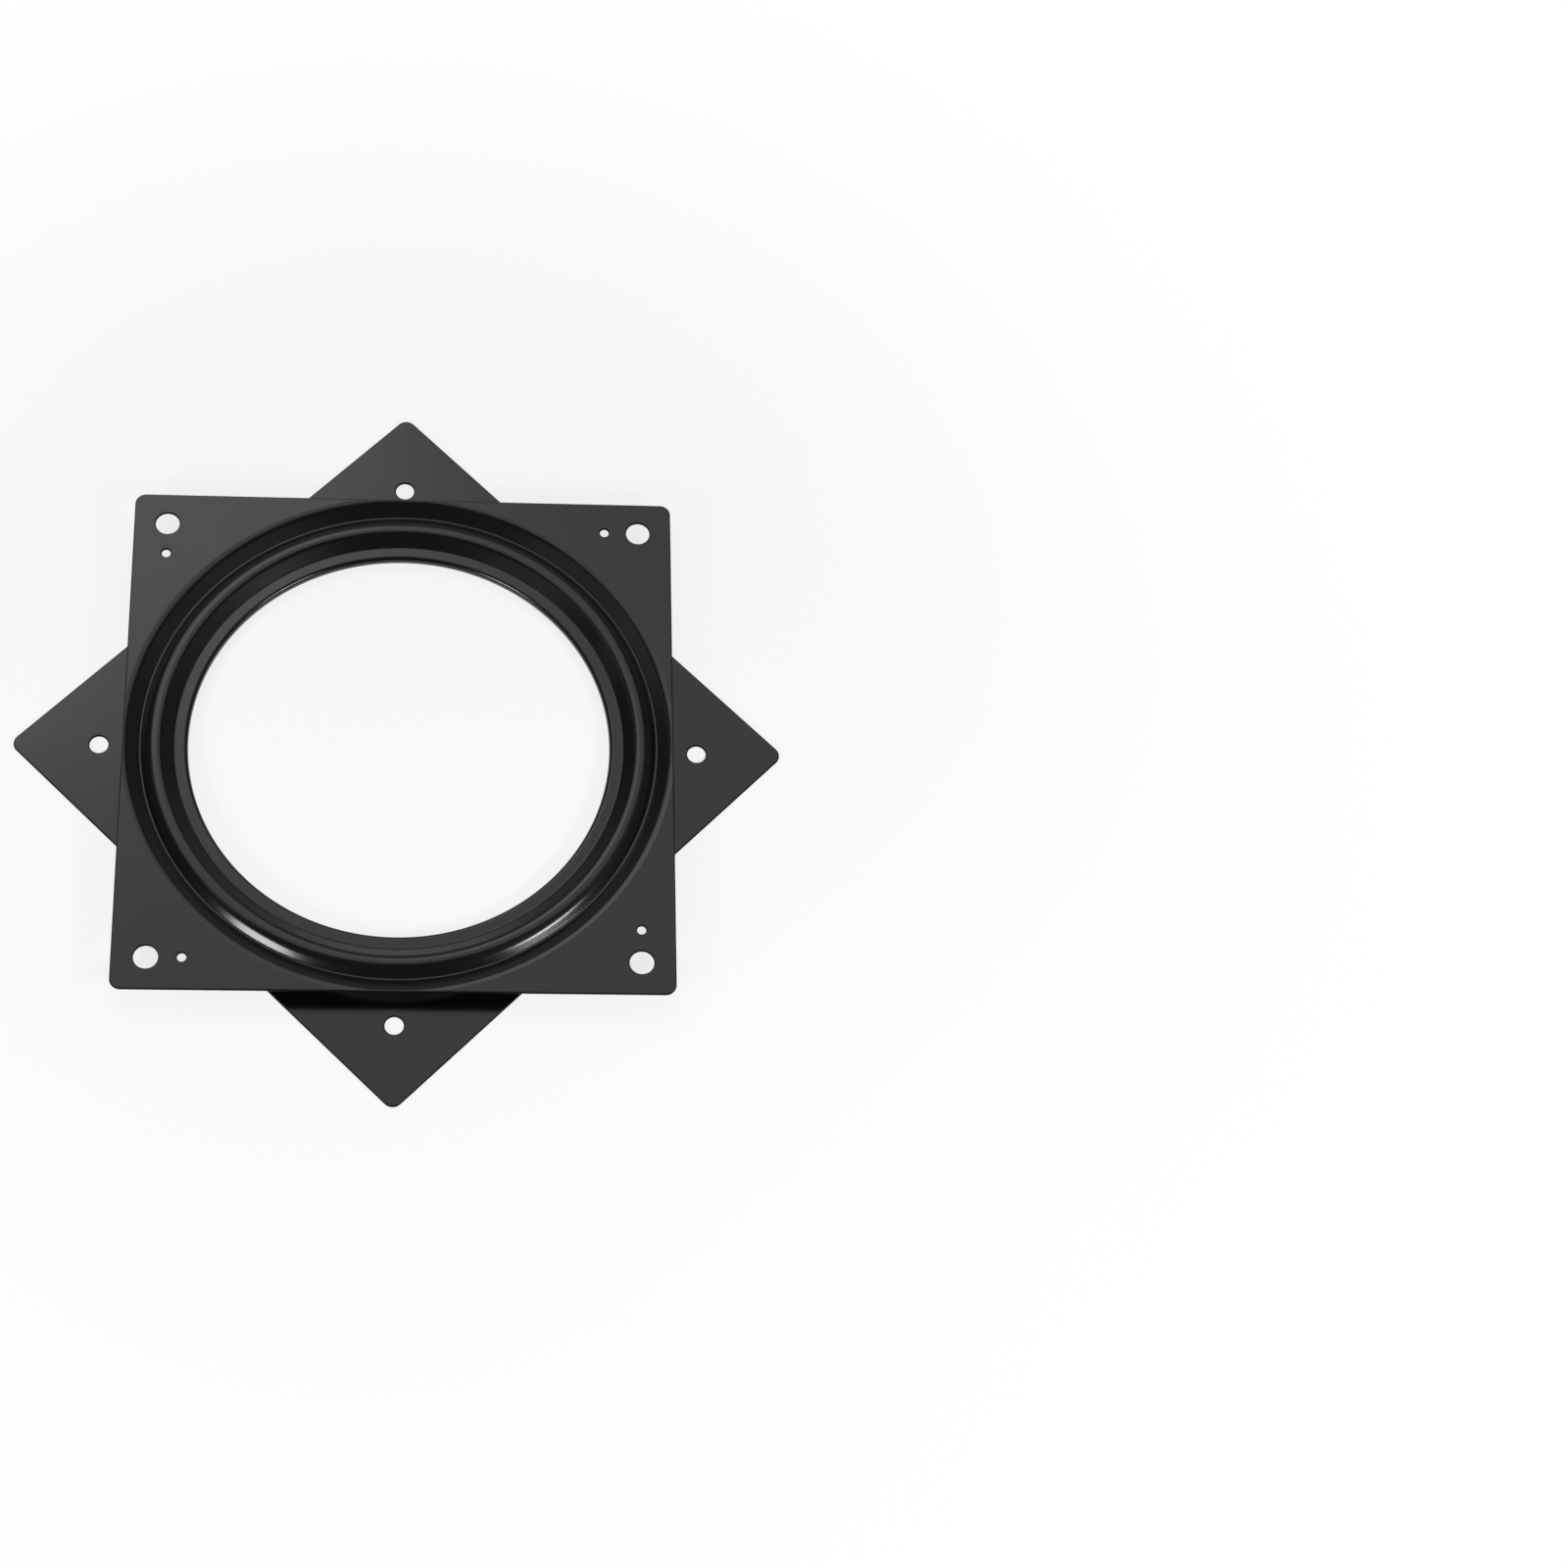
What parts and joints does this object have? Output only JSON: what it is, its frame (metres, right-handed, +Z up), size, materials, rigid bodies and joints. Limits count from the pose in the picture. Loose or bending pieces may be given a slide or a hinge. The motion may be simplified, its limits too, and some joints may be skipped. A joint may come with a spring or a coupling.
{
  "type": "lazy susan bearing",
  "caption": "Flat turntable bearing: square pressed steel plates clinched together around a ball race, free to turn, with an open centre and screw holes in the corners.",
  "frame": {"origin": "centre of the part's footprint on the surface that it lies on, under the turning axis, at the bottom plate's flat underside", "axes": "+Z up along the turning axis, out of the top plate's flat face. X and Y run square to the top plate's sides and through the bottom plate's corners"},
  "size_m": [0.213, 0.213, 0.0079],
  "materials": {
    "painted_plate": "semi-gloss black paint on pressed steel sheet",
    "ball_steel": "bright ground steel"
  },
  "bodies": {
    "base": {"bottom_plate": "painted_plate"},
    "turntable": {"top_plate": "painted_plate"},
    "ball_ring": {"ball_01": "ball_steel", "ball_02": "ball_steel", "ball_03": "ball_steel", "ball_04": "ball_steel", "ball_05": "ball_steel", "ball_06": "ball_steel", "ball_07": "ball_steel", "ball_08": "ball_steel", "ball_09": "ball_steel", "ball_10": "ball_steel", "ball_11": "ball_steel", "ball_12": "ball_steel", "ball_13": "ball_steel", "ball_14": "ball_steel", "ball_15": "ball_steel", "ball_16": "ball_steel", "ball_17": "ball_steel", "ball_18": "ball_steel", "ball_19": "ball_steel", "ball_20": "ball_steel", "ball_21": "ball_steel", "ball_22": "ball_steel", "ball_23": "ball_steel", "ball_24": "ball_steel", "ball_25": "ball_steel", "ball_26": "ball_steel", "ball_27": "ball_steel", "ball_28": "ball_steel", "ball_29": "ball_steel", "ball_30": "ball_steel", "ball_31": "ball_steel", "ball_32": "ball_steel", "ball_33": "ball_steel", "ball_34": "ball_steel", "ball_35": "ball_steel", "ball_36": "ball_steel"}
  },
  "joints": [
    {"name": "top_plate_turn", "type": "hinge", "parent": "base", "child": "turntable", "pos_m": [0, 0, 0.00397], "axis": [0, 0, 1], "continuous": true},
    {"name": "ball_orbit", "type": "hinge", "parent": "base", "child": "ball_ring", "pos_m": [0, 0, 0.00397], "axis": [0, 0, 1], "continuous": true}
  ],
  "couplings": [
    {"joint": "ball_orbit", "follows": "top_plate_turn", "ratio": 0.5}
  ]
}
